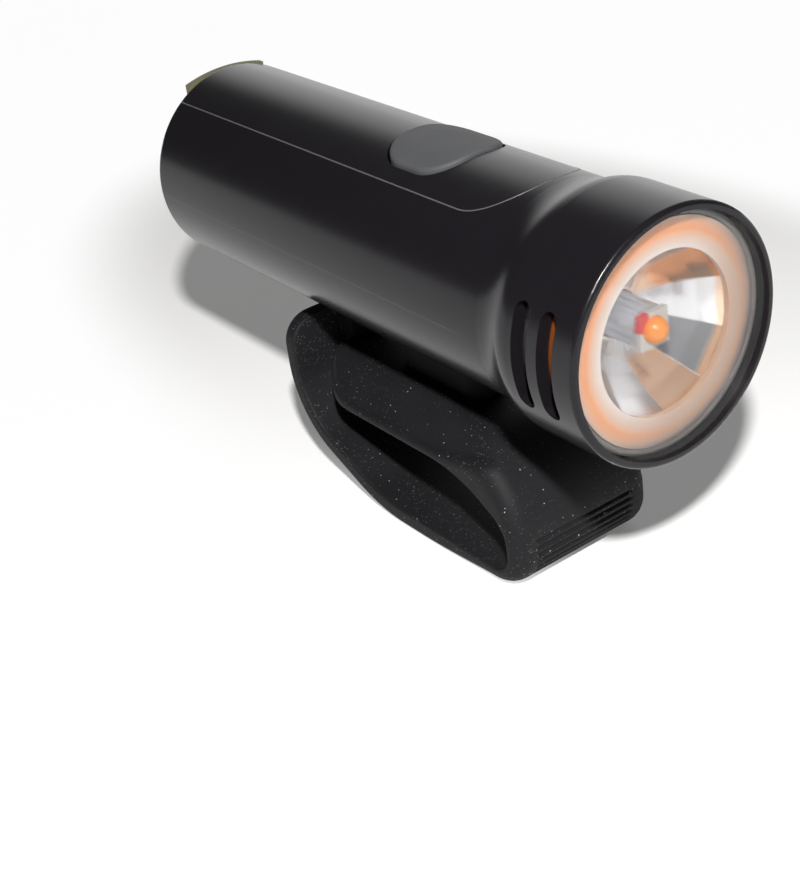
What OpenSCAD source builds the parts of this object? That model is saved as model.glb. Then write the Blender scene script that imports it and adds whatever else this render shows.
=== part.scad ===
// Bike headlight with a rubber handlebar strap.
// Beam along +X, up along +Z, handlebar across along Y, standing on the strap at z = 0.

/* [Housing] */
// outside diameter of the body tube
body_d = 30; // [29:0.5:36]
// how far the head stands out beyond the body tube
head_step = 1.5; // [0.8:0.1:3]
// length from the rear face to the front rim
light_length = 96.5; // [95:0.5:120]
// wall of the body tube
wall = 1.8; // [1.4:0.1:2.2]
// length of the straight part of the head
head_length = 12; // [11.5:0.5:15]
// length of the flare between body and head
flare_length = 7; // [5:0.5:10]
// rounding of the rear edge of the body
rear_round = 0.8; // [0.3:0.1:1.2]
// rounding of the front edge of the head
rim_round = 0.6; // [0.2:0.1:0.9]
// height of the light axis above the surface it stands on
axis_height = 41; // [39:0.5:50]

/* [Top cover] */
// width of the inlaid top cover
cover_w = 17.4; // [15:0.2:20]
// corner radius at the front of the top cover
cover_corner = 8; // [4:0.5:8.5]
// distance from the start of the flare to the front of the cover
cover_setback = 1.5; // [1:0.5:6]
// width of the seam around the cover
seam_gap = 0.25; // [0.15:0.05:0.4]

/* [Button] */
// distance from the rear face to the middle of the button
button_x = 55; // [45:0.5:58]
// length of the button along the light
button_l = 14; // [12:0.5:18]
// width of the button across the light
button_w = 13; // [11:0.5:14]
// corner radius of the button
button_corner = 5; // [3:0.5:5.5]
// how far the button stands proud of the cover
button_rise = 0.5; // [0.3:0.1:1]
// travel of the button when pressed
button_travel = 0.6; // [0.3:0.1:0.8]
// gap around the button
button_gap = 0.35; // [0.3:0.05:0.5]

/* [Lens and reflector] */
// width of the front rim around the lens
rim_wall = 1; // [0.8:0.1:1.4]
// thickness of the lens
lens_t = 1.4; // [1.2:0.1:1.8]
// how far the lens sits back from the rim
lens_recess = 0.4; // [0.2:0.1:0.8]
// inside diameter of the reflector mouth
mouth_d = 21; // [18:0.5:22]
// depth of the reflector bowl
bowl_depth = 8.2; // [7.6:0.2:9]
// number of facets around the reflector
facet_count = 10; // [8:1:12]
// width of each side slot along the light
slot_w = 2.7; // [1.6:0.1:2.8]
// angle that each side slot spans
slot_arc = 39; // [30:1:60]
// angle that the side slots are turned up from the middle of the side
slot_lift = 3; // [0:1:10]
// distance between the two side slots
slot_pitch = 4.5; // [4:0.1:5.2]
// distance from the front rim back to the front slot
slot_setback = 4.9; // [4.6:0.1:6]

/* [Power] */
// diameter of the battery cell
cell_d = 18.4; // [16:0.1:18.6]
// length of the battery cell
cell_l = 50; // [45:1:60]
// width of the circuit board
board_w = 19; // [17:0.5:19]
// thickness of the circuit board
board_t = 1; // [0.8:0.1:1.2]
// thickness of the heat sink behind the lamp board
sink_t = 4.4; // [3:0.2:4.6]

/* [Charging port] */
// thickness of the rear cap
cap_t = 4; // [3.6:0.1:4.6]
// how far the port cover stands proud of the rear face
port_proud = 1; // [0.8:0.1:1.6]

/* [Strap] */
// width of the strap across the light
strap_w = 24; // [20:0.5:28]
// width of the flat top of the saddle
saddle_flat = 14; // [12:0.5:16]
// thickness of the strap band
strap_t = 2.6; // [2.2:0.1:3]
// distance from the body underside to the underside of the saddle
saddle_drop = 11; // [10:0.5:13]
// distance from the rear face to the rear of the strap loop
loop_rear = 24.8; // [22:0.2:26]
// distance from the rear face to the front of the strap loop
loop_front = 77.1; // [76:0.2:80]
// outer radius of the lower front bend
nose_r = 5.5; // [5:0.1:6.5]
// outer radius of the upper front bend
brow_r = 12.5; // [11:0.5:13]
// outer radius of the bend at the rear of the loop
rear_bend_r = 14; // [12:0.5:15]
// outer radius of the bend down to the floor
floor_bend_r = 26; // [20:0.5:28]
// slope of the strap between its two rear bends
rear_slope = 24; // [20:1:30]
// length of the sloping part of the strap
slope_l = 7.5; // [6:0.1:9]
// number of grip ribs on the front of the strap
rib_count = 8; // [6:1:9]

/* [Hidden] */
$fn = 96;
eps = 0.01;
far = 60;
body_r = body_d / 2;
head_r = body_r + head_step;
bore_r = body_r - wall;
// fits
slide_fit = 0.05;
loose_fit = 0.15;
move_gap = 0.35;
// stations along the light, measured from the rear face
head_x = light_length - head_length;
flare_x = head_x - flare_length;
cover_x = flare_x - cover_setback;
lens_x = light_length - lens_recess - lens_t;
seal_r = 0.5;
step_x = lens_x - 2 * seal_r;
pocket_r = head_r - rim_wall;
throat_r = pocket_r - 0.95;
// flare arcs, tangent to body, head and each other
flare_sum = (head_step * head_step + flare_length * flare_length) / (2 * head_step);
hollow_r = 0.65 * flare_sum;
swell_r = flare_sum - hollow_r;
meet_r = body_r + hollow_r + (head_step - flare_sum) * hollow_r / flare_sum;
meet_x = flare_x + flare_length * hollow_r / flare_sum;
// lamp parts
plate_t = 0.8;
plate_x = lens_x - 0.1 - plate_t;
mouth_x = plate_x - 0.1;
mouth_r = mouth_d / 2;
mouth_wall = 0.9;
// corners of the faceted mouth, which lie outside the round opening in front of it
mouth_corner = mouth_r / cos(180 / facet_count);
slot_x = light_length - slot_setback;
amber_t = 2.4;
// the amber ring sits behind the front slot, where it shows from the front
amber_set = 3.3;
amber_x = slot_x - amber_set;
flange_t = 1.4;
flange_x = amber_x - 0.1 - flange_t;
post_r = 2.9;
lamp_hole_r = post_r + 0.25;
bowl_foot_r = lamp_hole_r + 0.45;
bowl_k = (mouth_corner * mouth_corner - bowl_foot_r * bowl_foot_r) / bowl_depth;
bowl_x = mouth_x - bowl_depth;
bowl_steps = 4;
bowl_base = 0.2;
lamp_board_t = 1.4;
lamp_board_x = bowl_x - bowl_base - 0.2 - lamp_board_t;
lamp_board_r = 11;
sink_x = lamp_board_x - sink_t;
emitter_w = 4.6;
emitter_t = 0.7;
dome_r = 1.75;
emitter_x = lens_x - 0.35 - dome_r - emitter_t;
// power parts
cell_r = cell_d / 2;
cell_z = -(bore_r - cell_r - 0.4);
cell_end = sink_x - 1.8;
cell_x = cell_end - cell_l;
terminal_t = 0.8;
tab_t = 0.2;
tab_w = 4;
board_z = cell_z + cell_r + 1;
board_top = board_z + board_t;
board_x = cap_t + 0.4;
board_end = cell_end + terminal_t + tab_t + 0.3;
board_half = board_w / 2;
cradle_l = 6;
cradle_xs = [cell_x + 4.5, cell_end - 12.5];
screw_y = board_half - 2.3;
screw_xs = [board_x + 6, cover_x - cover_corner - 1];
boss_r = 1.7;
screw_r = 0.8;
lead_y = 3;
lead_r = 0.45;
lead_lap = 5;
lead_z = board_top + lead_r;
// switch under the button
switch_x = button_x;
switch_w = 6;
switch_top = bore_r - 2;
switch_h = switch_top - 1 - board_top;
key_r = 1.5;
key_foot = switch_h - 0.5;
stem_gap = 0.05;
skirt = 1;
skirt_r0 = bore_r - 1;
skirt_r1 = bore_r - 0.3;
// charging socket
socket_w = 7.5;
socket_h = 2.6;
socket_l = 5.6;
socket_x = cap_t - 1;
socket_wall = 0.3;
window_gap = 0.5;
window_w = socket_w + 2 * window_gap;
window_z0 = board_top - 0.2;
window_z1 = board_top + socket_h + window_gap;
port_r = body_r - rear_round - 0.3;
port_hinge_z = board_top - 2.4;
plug_t = 0.8;
plug_gap = 0.6;
lift_w = 13.6;
lift_r = 24;
lift_top = body_r - 0.2;
// strap stations in the X-Z plane, z from the light axis
floor_z = -axis_height;
saddle_z = -(body_r + saddle_drop);
saddle_rear = loop_rear + 4.2;
saddle_rim = 0.6;
saddle_crown = 5.5;
crown_z = saddle_z + saddle_crown;
half_w = strap_w / 2;
shoulder_r = 4;
shoulder_a = atan2(saddle_crown - saddle_rim, (strap_w - saddle_flat) / 2);
shoulder_y = saddle_flat / 2 - shoulder_r * tan(shoulder_a / 2);
nose_x = loop_front - nose_r;
nose_z = floor_z + nose_r;
brow_x = loop_front - brow_r;
brow_drop = 0.5;
brow_ease = 8;
brow_z = crown_z - brow_drop - brow_r;
eye_r = 5;
eye_x = loop_front - strap_t - eye_r;
eye_z = nose_z + 1.6;
// long easing of the hole's upper edge into its front end
ease_r = 26;
ease_z = saddle_z - ease_r;
ease_x = eye_x - sqrt(max(1, pow(ease_r - eye_r, 2) - pow(eye_z - ease_z, 2)));
ease_a = atan2(eye_z - ease_z, eye_x - ease_x);
saddle_plan_r = half_w - 1;
bend_c = [loop_rear + rear_bend_r, floor_z + floor_bend_r * (1 - cos(rear_slope))
    + slope_l * sin(rear_slope) + rear_bend_r * cos(rear_slope)];
slope_a = [bend_c[0] - rear_bend_r * sin(rear_slope), bend_c[1] - rear_bend_r * cos(rear_slope)];
slope_b = slope_a + slope_l * [cos(rear_slope), -sin(rear_slope)];
floor_c = slope_b + floor_bend_r * [sin(rear_slope), cos(rear_slope)];
tail_split = 210;
bend_steps = 12;
tail_top = -(body_r + 0.9);
tail_corner = 4;
// hook that holds the strap tail
hook_w = 5.2;
hook_z = -(body_r + 4.6);
hook_t = 1.4;
hook_tip = 0.4;
hook_tip_l = 1.1;
hook_x = loop_rear - 0.5 - hook_tip_l;
spine_x = loop_rear + strap_t + 0.6;
spine_w = 7;
foot_x = loop_rear + 26.5;
foot_l = 18;
foot_w = 7;
foot_corner = 3;
foot_z = crown_z - 1.5;
foot_rise = 1;
spine_drop = 2.4;
heel_l = 3;
// clamp plate and its screws under the saddle
clamp_l = 18;
clamp_w = 10;
clamp_t = 1.2;
clamp_pitch = 11;
clamp_screw_r = 1;
clamp_head_r = 2.2;
clamp_head_t = 0.9;
clamp_screw_l = 7;
rib_w = 17;
rib_step = 1.1;
rib_mid = -1.8;
rib_r = 0.3;
// the whole light is drawn from its rear face and axis, then set over the origin
mid_x = (light_length - port_proud) / 2;

// sets a part drawn about the light axis into the standing frame
module place() {
    translate([-mid_x, 0, axis_height]) children();
}

// turns a profile of radius against distance from the rear face about the light axis
module turned() {
    rotate([0, 90, 0]) rotate_extrude() children();
}

// cylinder along the light axis from one station to another
module rod(r, x0, x1) {
    translate([x0, 0, 0]) rotate([0, 90, 0]) cylinder(r = r, h = x1 - x0);
}

// box given by its lower and upper corners
module block(a, b) {
    translate(a) cube(b - a);
}

// rounded rectangle about the origin
module rounded(l, w, r) {
    square([l - 2 * r, w], center = true);
    square([l, w - 2 * r], center = true);
    for (sx = [-1, 1], sy = [-1, 1])
        translate([sx * (l / 2 - r), sy * (w / 2 - r)]) circle(r);
}

// stands a plan outline up as a prism above the light axis
module plan_prism() {
    linear_extrude(far) children();
}

// widens an X-Z outline to a slab across the light
module slab(w) {
    rotate([90, 0, 0]) linear_extrude(w, center = true) children();
}

// points along an arc, from one angle to another
function arc(c, r, a0, a1) = [for (k = [0 : bend_steps])
    let (a = a0 + (a1 - a0) * k / bend_steps) c + r * [cos(a), sin(a)]];

// outline of half the housing: radius against distance from the rear face
module housing_outline() {
    translate([0, rear_round]) square([body_r, flare_x - rear_round]);
    square([body_r - rear_round, rear_round]);
    translate([body_r - rear_round, rear_round]) circle(rear_round);
    difference() {
        translate([0, flare_x]) square([meet_r, meet_x - flare_x]);
        translate([body_r + hollow_r, flare_x]) circle(hollow_r);
    }
    translate([0, meet_x]) square([head_r - swell_r, head_x - meet_x]);
    intersection() {
        translate([0, meet_x]) square([head_r, head_x - meet_x]);
        translate([head_r - swell_r, head_x]) circle(swell_r);
    }
    translate([0, head_x]) square([head_r, head_length - rim_round]);
    translate([0, light_length - rim_round]) square([head_r - rim_round, rim_round]);
    translate([head_r - rim_round, light_length - rim_round]) circle(rim_round);
}

// hollow inside the housing, open at both ends
module housing_hollow() {
    throat_x = head_x - 2.5;
    polygon([[0, -1], [bore_r, -1], [bore_r, throat_x], [throat_r, throat_x + throat_r - bore_r],
        [throat_r, step_x], [pocket_r, step_x], [pocket_r, light_length + 1],
        [0, light_length + 1]]);
}

module housing() {
    turned() difference() {
        housing_outline();
        housing_hollow();
    }
}

// plan of the tongue-shaped cover, open at the rear, grown by a margin
module cover_plan(grow) {
    half = cover_w / 2 + grow;
    r = cover_corner + grow;
    front = cover_x + grow;
    translate([-2, -half]) square([front - r + 2, 2 * half]);
    translate([front - r, -(half - r)]) square([r, 2 * (half - r)]);
    for (s = [-1, 1]) translate([front - r, s * (half - r)]) circle(r);
}

module button_plan(grow) {
    translate([button_x, 0])
        rounded(button_l + 2 * grow, button_w + 2 * grow, button_corner + grow);
}

// slot with round ends, straight through the side of the head, on one side of the light
module side_slot(x, side) {
    low = head_r * sin(slot_lift - slot_arc / 2);
    high = head_r * sin(slot_lift + slot_arc / 2);
    translate([x, 0, (low + high) / 2]) rotate([side * 90, 0, 0]) linear_extrude(far / 2) {
        square([slot_w, high - low], center = true);
        for (s = [-1, 1]) translate([0, s * (high - low) / 2]) circle(d = slot_w);
    }
}

module main_shell() {
    color([0.1, 0.1, 0.11]) place() difference() {
        housing();
        plan_prism() cover_plan(seam_gap);
        difference() {
            for (side = [-1, 1], x = [slot_x - slot_pitch, slot_x]) side_slot(x, side);
            rod(throat_r - 0.5, 0, light_length);
        }
    }
}

module top_cover() {
    flange_r0 = bore_r - 1.1;
    flange_r1 = bore_r - loose_fit;
    color([0.11, 0.11, 0.12]) place() difference() {
        union() {
            intersection() {
                housing();
                plan_prism() cover_plan(0);
            }
            intersection() {
                difference() {
                    rod(bore_r + eps, cap_t + 0.5, sink_x - 0.3);
                    rod(flange_r0, 0, light_length);
                }
                plan_prism() cover_plan(-1);
            }
            intersection() {
                difference() {
                    rod(flange_r1, cap_t + 0.5, sink_x - 0.3);
                    rod(flange_r0, 0, light_length);
                }
                plan_prism() cover_plan(1.2);
            }
            for (x = screw_xs, s = [-1, 1]) intersection() {
                translate([x, s * screw_y, board_top]) cylinder(r = boss_r, h = body_r);
                rod(bore_r + wall / 2, 0, light_length);
            }
        }
        plan_prism() button_plan(button_gap);
        intersection() {
            plan_prism() button_plan(skirt + button_gap);
            rod(bore_r, 0, light_length);
        }
        for (x = screw_xs, s = [-1, 1])
            translate([x, s * screw_y, 0]) cylinder(r = screw_r + slide_fit, h = board_top + 2.2);
    }
}

module mode_button() {
    dish_r = 26;
    dish = 0.35;
    color([0.36, 0.38, 0.39]) place() difference() {
        union() {
            intersection() {
                plan_prism() button_plan(0);
                difference() {
                    rod(body_r + button_rise, 0, light_length);
                    rod(skirt_r0, -1, light_length + 1);
                }
            }
            intersection() {
                plan_prism() button_plan(skirt);
                difference() {
                    rod(skirt_r1, 0, light_length);
                    rod(skirt_r0, -1, light_length + 1);
                }
            }
            translate([switch_x, 0, switch_top + stem_gap])
                cylinder(r = key_r + 0.3, h = bore_r - switch_top);
        }
        translate([button_x, 0, body_r + button_rise + dish_r - dish]) rotate([90, 0, 0])
            sphere(dish_r);
    }
}

module switch_plunger() {
    color([0.15, 0.15, 0.16]) place()
        translate([switch_x, 0, board_top + key_foot])
            cylinder(r = key_r, h = switch_top - board_top - key_foot);
}

module tact_switch() {
    color([0.6, 0.61, 0.62]) place() difference() {
        translate([switch_x - switch_w / 2, -switch_w / 2, board_top])
            cube([switch_w, switch_w, switch_h]);
        translate([switch_x, 0, board_top + key_foot - button_travel - 0.2])
            cylinder(r = key_r + move_gap, h = switch_h);
    }
}

module main_board() {
    color([0.05, 0.3, 0.15]) place() difference() {
        block([board_x, -board_half, board_z], [board_end, board_half, board_top]);
        for (x = screw_xs, s = [-1, 1]) translate([x, s * screw_y, board_z - 1])
            cylinder(r = screw_r + loose_fit, h = board_t + 2);
    }
}

module driver_inductor() {
    color([0.2, 0.2, 0.21]) place() translate([board_x + 16, 0.5, board_top]) cube([6, 6, 2.4]);
}

module driver_chip() {
    color([0.07, 0.07, 0.08]) place() translate([board_x + 27, -4, board_top]) cube([5, 4, 1.5]);
}

module charge_chip() {
    color([0.07, 0.07, 0.08]) place() translate([board_x + 9, -5.5, board_top]) cube([4, 5, 1.4]);
}

module filter_capacitor() {
    color([0.7, 0.7, 0.72]) place() translate([board_x + 36, 3, board_top]) cylinder(r = 2, h = 2.3);
}

module status_led() {
    color([0.95, 0.95, 0.85]) place()
        translate([switch_x + switch_w / 2 + 1.5, -0.6, board_top]) cube([1.6, 1.2, 0.7]);
}

module usb_shell() {
    color([0.78, 0.78, 0.8]) place() difference() {
        block([socket_x, -socket_w / 2, board_top],
            [socket_x + socket_l, socket_w / 2, board_top + socket_h]);
        block([socket_x - 1, -socket_w / 2 + socket_wall, board_top + socket_wall],
            [socket_x + socket_l - 1, socket_w / 2 - socket_wall, board_top + socket_h - socket_wall]);
    }
}

module usb_tongue() {
    color([0.12, 0.12, 0.13]) place()
        block([socket_x + 0.6, -socket_w / 2 + 1.6, board_top + 0.9],
            [socket_x + socket_l - 1, socket_w / 2 - 1.6, board_top + 1.6]);
}

module rear_cap() {
    groove_x = cap_t * 0.55;
    color([0.09, 0.09, 0.1]) place() difference() {
        rod(bore_r - loose_fit, 0, cap_t);
        block([-1, -window_w / 2, window_z0], [cap_t + 1, window_w / 2, window_z1]);
        turned() translate([bore_r - 1.1, groove_x - 0.6]) square([2, 1.2]);
        translate([-1, 0, port_hinge_z - 1.8]) rotate([0, 90, 0])
            cylinder(r = 1 + slide_fit, h = 3);
    }
}

module rear_seal() {
    groove_x = cap_t * 0.55;
    color([0.05, 0.05, 0.05]) place() turned() translate([bore_r - 0.55, groove_x]) circle(0.5);
}

module port_cover() {
    color([0.34, 0.34, 0.27]) place() union() {
        intersection() {
            rod(port_r, -port_proud, 0);
            block([-far, -far, port_hinge_z], [far, far, far]);
        }
        intersection() {
            translate([0, 0, lift_top - lift_r]) rod(lift_r, -port_proud, 0);
            block([-far, -lift_w / 2, board_top], [far, lift_w / 2, far]);
        }
        block([-eps, -socket_w / 2, board_top + 0.3],
            [plug_t, socket_w / 2, window_z1 - plug_gap]);
    }
}

module port_anchor() {
    color([0.34, 0.34, 0.27]) place() union() {
        block([-port_proud, -socket_w / 2, port_hinge_z - 3.6], [0, socket_w / 2, port_hinge_z - 0.1]);
        translate([-eps, 0, port_hinge_z - 1.8]) rotate([0, 90, 0]) cylinder(r = 1, h = 1.9);
    }
}

module cell_can() {
    color([0.16, 0.32, 0.6]) place() translate([0, 0, cell_z]) rod(cell_r, cell_x, cell_end);
}

module cell_terminal() {
    color([0.8, 0.8, 0.8]) place() translate([0, 0, cell_z])
        rod(2.8, cell_end, cell_end + terminal_t);
}

module cell_tab_front() {
    x = cell_end + terminal_t;
    color([0.85, 0.84, 0.8]) place() block([x, -tab_w / 2, cell_z - 2], [x + tab_t, tab_w / 2, board_z]);
}

module cell_tab_rear() {
    color([0.85, 0.84, 0.8]) place()
        block([cell_x - tab_t, -tab_w / 2, cell_z - 2], [cell_x, tab_w / 2, board_z]);
}

module cell_cradle() {
    post_y = board_half - 0.6;
    rail_z = cell_z - 2.4;
    color([0.85, 0.85, 0.83]) place() difference() {
        intersection() {
            rod(bore_r - loose_fit, 0, light_length);
            union() {
                for (x = cradle_xs) block([x, -far, -far], [x + cradle_l, far, board_z]);
                block([cradle_xs[0], -far, rail_z], [cradle_xs[1], far, rail_z + 3]);
            }
        }
        translate([0, 0, cell_z]) rod(cell_r + slide_fit, 0, light_length);
        block([0, -post_y, cell_z], [light_length, post_y, far]);
    }
}

module board_screw(x, y) {
    color([0.7, 0.7, 0.72]) place() translate([x, y, 0]) difference() {
        union() {
            translate([0, 0, board_z - 0.9]) cylinder(r = 1.6, h = 0.9);
            translate([0, 0, board_z - eps]) cylinder(r = screw_r, h = board_t + 2);
        }
        translate([-0.2, -1, board_z - 1]) cube([0.4, 2, 0.5]);
        translate([-1, -0.2, board_z - 1]) cube([2, 0.4, 0.5]);
    }
}

module board_screw_1() {
    board_screw(screw_xs[0], -screw_y);
}

module board_screw_2() {
    board_screw(screw_xs[0], screw_y);
}

module board_screw_3() {
    board_screw(screw_xs[1], -screw_y);
}

module board_screw_4() {
    board_screw(screw_xs[1], screw_y);
}

module heat_sink() {
    color([0.75, 0.75, 0.77]) place() difference() {
        rod(bore_r - slide_fit, sink_x, lamp_board_x);
        for (s = [-1, 1]) translate([0, s * lead_y, lead_z])
            rod(lead_r + 0.4, sink_x - 1, lamp_board_x + 1);
    }
}

module lamp_board() {
    color([0.92, 0.92, 0.9]) place() rod(lamp_board_r, lamp_board_x, lamp_board_x + lamp_board_t);
}

module lamp_post() {
    color([0.78, 0.78, 0.8]) place() rod(post_r, lamp_board_x + lamp_board_t, emitter_x);
}

module lamp_base() {
    half = emitter_w / 2;
    color([0.93, 0.92, 0.88]) place()
        block([emitter_x, -half, -half], [emitter_x + emitter_t, half, half]);
}

module lamp_dome() {
    color([0.95, 0.65, 0.2]) place() turned() translate([0, emitter_x + emitter_t])
        intersection() {
            circle(dome_r);
            square(dome_r);
        }
}

module lead(y) {
    place() translate([0, y, lead_z]) rod(lead_r, board_end - lead_lap, lamp_board_x);
}

module lead_positive() {
    color([0.75, 0.1, 0.1]) lead(lead_y);
}

module lead_negative() {
    color([0.08, 0.08, 0.08]) lead(-lead_y);
}

// radius of the bowl at a share of the way from its foot to the mouth
function bowl_r(k) = bowl_foot_r + (mouth_corner - bowl_foot_r) * k / bowl_steps;
// station of the bowl at a given radius
function bowl_at(r) = bowl_x + (r * r - bowl_foot_r * bowl_foot_r) / bowl_k;

// radius at a station of the cone that one ring of facets lies on
function ring_r(k, x) = bowl_r(k) + (bowl_r(k + 1) - bowl_r(k)) * (x - bowl_at(bowl_r(k)))
    / (bowl_at(bowl_r(k + 1)) - bowl_at(bowl_r(k)));

module reflector() {
    lip_r = mouth_corner + mouth_wall;
    color([0.88, 0.88, 0.9]) place() difference() {
        turned() union() {
            polygon([[0, bowl_x - bowl_base], [bowl_foot_r + 1.8, bowl_x - bowl_base],
                [lip_r, mouth_x - 1.8], [lip_r, mouth_x], [0, mouth_x]]);
            translate([0, flange_x]) square([throat_r - loose_fit, flange_t]);
        }
        rod(lamp_hole_r, bowl_x - 1, bowl_x + 1);
        intersection_for (k = [0 : bowl_steps - 1]) translate([bowl_x, 0, 0]) rotate([0, 90, 0])
            cylinder(r1 = ring_r(k, bowl_x), r2 = ring_r(k, mouth_x + 1), h = bowl_depth + 1,
                $fn = facet_count);
    }
}

module amber_ring() {
    color([0.95, 0.5, 0.1]) place() difference() {
        rod(throat_r - loose_fit, amber_x, amber_x + amber_t);
        rod(mouth_corner + mouth_wall + 0.4, amber_x - 1, amber_x + amber_t + 1);
    }
}

module diffuser_ring() {
    color([0.95, 0.9, 0.85]) place() difference() {
        rod(throat_r - loose_fit, plate_x, plate_x + plate_t);
        rod(mouth_r, plate_x - 1, plate_x + plate_t + 1);
    }
}

module lens() {
    color([0.9, 0.93, 0.95, 0.4]) place() rod(pocket_r - slide_fit, lens_x, lens_x + lens_t);
}

module lens_seal() {
    color([0.05, 0.05, 0.05]) place() turned()
        translate([pocket_r - 0.1 - seal_r, lens_x - seal_r]) circle(seal_r);
}

// plan of the foot that stands in the saddle, grown by a margin
module foot_plan(grow) {
    translate([foot_x, 0]) rounded(foot_l + 2 * grow, foot_w + 2 * grow, foot_corner + grow);
}

module mount_foot() {
    tip_z = hook_z + hook_t / 2 + hook_tip;
    foot_top = -body_r + foot_rise;
    color([0.1, 0.1, 0.11]) place() difference() {
        union() {
            translate([0, 0, foot_z]) linear_extrude(foot_top - foot_z) foot_plan(0);
            block([spine_x, -spine_w / 2, -body_r - spine_drop], [foot_x, spine_w / 2, foot_top]);
            block([spine_x, -spine_w / 2, hook_z - hook_t / 2],
                [spine_x + heel_l, spine_w / 2, foot_top]);
            block([hook_x, -hook_w / 2, hook_z - hook_t / 2],
                [spine_x + eps, hook_w / 2, hook_z + hook_t / 2]);
            block([hook_x, -hook_w / 2, hook_z], [hook_x + hook_tip_l, hook_w / 2, tip_z]);
        }
        rod(body_r + slide_fit, 0, light_length);
        for (s = [-1, 1]) translate([foot_x + s * clamp_pitch / 2, 0, foot_z - 1])
            cylinder(r = clamp_screw_r + slide_fit, h = clamp_screw_l);
    }
}

// upper part of the strap in the X-Z plane: saddle and brow down to the lower front bend
module saddle_outline() {
    difference() {
        union() {
            polygon([[saddle_rear, saddle_z], [brow_x, saddle_z], [brow_x, brow_z + brow_r],
                [brow_x - brow_ease, crown_z], [saddle_rear, crown_z]]);
            translate([ease_x, nose_z]) square([brow_x - ease_x, saddle_z + saddle_rim - nose_z]);
            intersection() {
                translate([brow_x, brow_z]) circle(brow_r);
                translate([brow_x, brow_z]) square(brow_r);
            }
            translate([brow_x, nose_z]) square([brow_r, brow_z - nose_z]);
        }
        polygon(concat([[saddle_rear - 1, saddle_z]], arc([ease_x, ease_z], ease_r, 90, ease_a),
            arc([eye_x, eye_z], eye_r, ease_a - 5, 0),
            [[eye_x + eye_r, nose_z - 1], [saddle_rear - 1, nose_z - 1]]));
    }
}

// lower part of the strap in the X-Z plane, from the front bend to the tail
module band_outline() {
    turn = 270 - rear_slope;
    polygon(concat(arc(bend_c, rear_bend_r, tail_split, turn),
        arc(floor_c, floor_bend_r, turn, 270),
        arc([nose_x, nose_z], nose_r, 270, 360),
        arc([nose_x, nose_z], nose_r - strap_t, 360, 270),
        arc(floor_c, floor_bend_r - strap_t, 270, turn),
        arc(bend_c, rear_bend_r - strap_t, turn, tail_split)));
}

// end of the strap in the X-Z plane, from the split in the rear bend to its top
module tail_outline() {
    polygon(concat([[loop_rear + strap_t, tail_top], [loop_rear, tail_top]],
        arc(bend_c, rear_bend_r, 180, tail_split),
        arc(bend_c, rear_bend_r - strap_t, tail_split, 180)));
}

// section of the saddle in the Y-Z plane: flat top with sloping sides and rounded shoulders
module saddle_section() {
    top = crown_z - shoulder_r;
    polygon(concat([[half_w, floor_z - 1], [half_w, saddle_z + saddle_rim]],
        arc([shoulder_y, top], shoulder_r, 90 - shoulder_a, 90),
        arc([-shoulder_y, top], shoulder_r, 90, 90 + shoulder_a),
        [[-half_w, saddle_z + saddle_rim], [-half_w, floor_z - 1]]));
}

// point on the front of the strap, by the distance along its surface up from the lower bend
function front_at(d) = d < 0
    ? [nose_x, nose_z] + nose_r * [cos(d / nose_r * 180 / PI), sin(d / nose_r * 180 / PI)]
    : d < brow_z - nose_z
    ? [loop_front, nose_z + d]
    : let (a = (d - brow_z + nose_z) / brow_r * 180 / PI) [brow_x, brow_z] + brow_r * [cos(a), sin(a)];

// grooves between the grip ribs, cut into the front of the strap
module grip_ribs() {
    for (k = [0 : rib_count - 1]) {
        p = front_at(rib_mid + (k - (rib_count - 1) / 2) * rib_step);
        translate([p[0], 0, p[1]]) rotate([90, 0, 0])
            cylinder(r = rib_r, h = rib_w, center = true, $fn = 24);
    }
}

module strap_band() {
    color([0.14, 0.14, 0.15]) place() difference() {
        union() {
            slab(strap_w) band_outline();
            intersection() {
                slab(strap_w) saddle_outline();
                rotate([90, 0, 90]) linear_extrude(light_length) saddle_section();
                translate([0, 0, -far]) linear_extrude(2 * far) union() {
                    translate([saddle_rear + saddle_plan_r, -half_w]) square([far, strap_w]);
                    translate([saddle_rear, -(half_w - saddle_plan_r)])
                        square([saddle_plan_r, 2 * (half_w - saddle_plan_r)]);
                    for (s = [-1, 1])
                        translate([saddle_rear + saddle_plan_r, s * (half_w - saddle_plan_r)])
                            circle(saddle_plan_r);
                }
            }
        }
        translate([0, 0, foot_z]) linear_extrude(far) foot_plan(loose_fit);
        block([foot_x - clamp_l / 2 - loose_fit, -clamp_w / 2 - loose_fit, saddle_z - 1],
            [foot_x + clamp_l / 2 + loose_fit, clamp_w / 2 + loose_fit, saddle_z + clamp_t]);
        for (s = [-1, 1]) translate([foot_x + s * clamp_pitch / 2, 0, saddle_z])
            cylinder(r = clamp_screw_r + loose_fit, h = saddle_crown);
        grip_ribs();
    }
}

module strap_tail() {
    hole_w = hook_w + 4 * move_gap;
    hole_z0 = hook_z - hook_t / 2 - 0.6;
    hole_z1 = hook_z + hook_t / 2 + hook_tip + 1.1;
    color([0.14, 0.14, 0.15]) place() difference() {
        intersection() {
            slab(strap_w) tail_outline();
            rotate([90, 0, 90]) linear_extrude(far) union() {
                translate([-half_w, floor_z]) square([strap_w, tail_top - tail_corner - floor_z]);
                translate([-half_w + tail_corner, floor_z])
                    square([strap_w - 2 * tail_corner, tail_top - floor_z]);
                for (s = [-1, 1]) translate([s * (half_w - tail_corner), tail_top - tail_corner])
                    circle(tail_corner);
            }
        }
        block([0, -hole_w / 2, hole_z0], [spine_x, hole_w / 2, hole_z1]);
    }
}

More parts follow.
